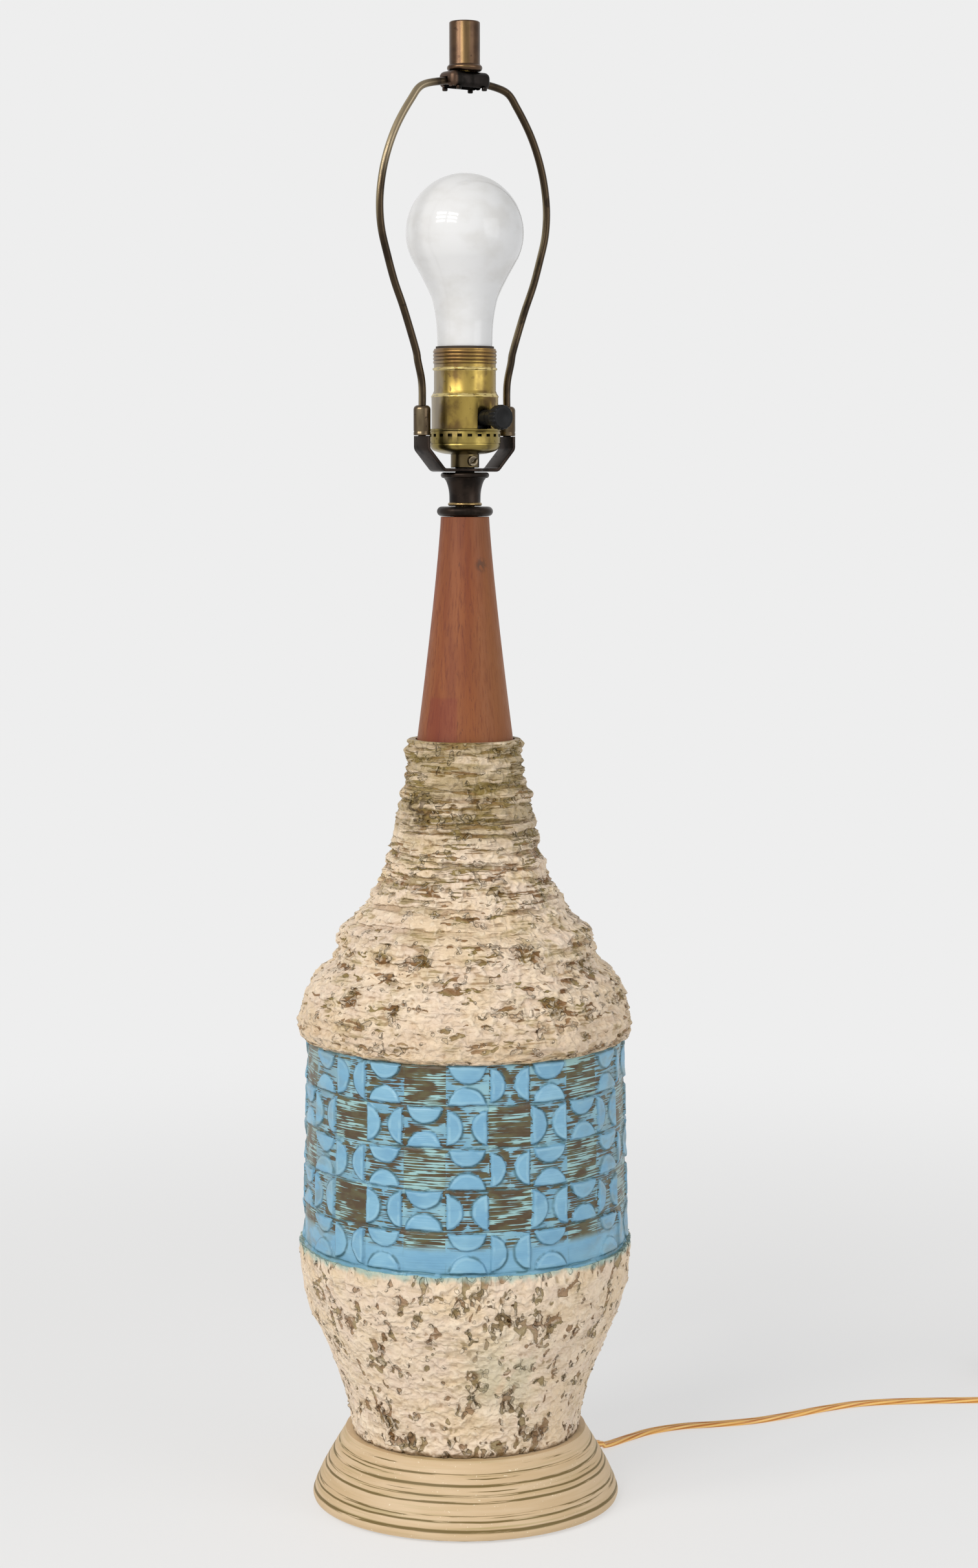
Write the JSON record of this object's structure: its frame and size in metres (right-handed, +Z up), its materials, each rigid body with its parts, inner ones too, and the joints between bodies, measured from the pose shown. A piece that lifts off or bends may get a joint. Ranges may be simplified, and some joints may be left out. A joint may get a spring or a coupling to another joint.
{
  "type": "ceramic table lamp",
  "caption": "Tall table lamp base: cratered ceramic body with a patterned band, turned foot, wooden neck, brass screw socket with bulb, harp and finial, mains cord with plug.",
  "frame": {"origin": "centre of the foot, on the surface that the felt rests on", "axes": "+Z up along the threaded rod; the picture looks along +Y; +X is its right"},
  "size_m": [0.5125, 0.3904, 0.7749],
  "materials": {
    "felt": "pressed felt",
    "foot": "turned wood, painted smooth matte beige with olive rings",
    "rubber": "matt",
    "lava_glaze": "rough cratered glaze, cream with olive brown pits, and a blue glossy band",
    "wood": "oiled reddish brown, vertical grain",
    "dark_metal": "dark bronze, worn edges",
    "black_metal": "black, worn",
    "antique_brass": "tarnished",
    "aged_brass": "brown patina",
    "bright_brass": "spun sheet, spotted tarnish",
    "brass": "plain",
    "steel": "plated",
    "zinc": "zinc plated",
    "aluminium": "rolled sheet",
    "phenolic": "moulded black",
    "card": "fibre card",
    "bulb_glass": "opaque white coated glass",
    "clear_glass": "clear",
    "cord": "translucent gold cord insulation",
    "tie": "black strap",
    "plug": "brown moulding"
  },
  "bodies": {
    "root": {"felt_ring": "felt", "base_foot": "foot", "cord_grommet": "rubber", "base_washer": "steel", "base_lock_washer": "steel", "base_nut": "steel", "threaded_rod": "zinc", "ceramic_body": "lava_glaze", "wood_neck": "wood", "check_ring": "dark_metal", "neck_spacer": "dark_metal", "harp_saddle": "dark_metal", "socket_cap": "bright_brass", "socket_set_screw": "steel", "socket_shell": "bright_brass", "socket_liner": "card", "socket_core": "phenolic", "socket_screw_shell": "brass", "socket_contact_leaf": "brass", "terminal_screw_brass": "brass", "terminal_screw_silver": "steel", "cord_inner": "cord", "cord_free": "cord", "cord_coil": "cord", "cord_tail": "cord", "cord_tie": "tie", "plug_body": "plug", "plug_blade_left": "brass", "plug_blade_right": "brass"},
    "switch": {"switch_stem": "brass", "switch_knob": "phenolic"},
    "bulb": {"bulb_glass": "bulb_glass", "bulb_stem": "clear_glass", "bulb_filament": "steel", "bulb_screw_cap": "aluminium", "bulb_insulator": "phenolic", "bulb_contact": "steel"},
    "harp": {"harp_wire_left": "antique_brass", "harp_wire_right": "antique_brass", "harp_channel": "black_metal", "harp_stud": "brass"},
    "sleeve_left": {"harp_sleeve_left": "antique_brass"},
    "sleeve_right": {"harp_sleeve_right": "antique_brass"},
    "finial": {"finial": "aged_brass"}
  },
  "joints": [
    {"name": "bulb_turn", "type": "hinge", "parent": "root", "child": "bulb", "pos_m": [0, 0, 0.59], "axis": [0, 0, 1], "continuous": true},
    {"name": "switch_turn", "type": "hinge", "parent": "root", "child": "switch", "pos_m": [0, 0, 0.5731], "axis": [0.6018, -0.7986, 0], "continuous": true},
    {"name": "harp_lift", "type": "slide", "parent": "root", "child": "harp", "axis": [0, 0, 1], "range_m": [0, 0.018]},
    {"name": "sleeve_left_lift", "type": "slide", "parent": "harp", "child": "sleeve_left", "axis": [0, 0, 1], "range_m": [0, 0.01]},
    {"name": "sleeve_right_lift", "type": "slide", "parent": "harp", "child": "sleeve_right", "axis": [0, 0, 1], "range_m": [0, 0.01]},
    {"name": "finial_turn", "type": "hinge", "parent": "harp", "child": "finial", "pos_m": [0, 0, 0.76], "axis": [0, 0, 1], "continuous": true}
  ]
}
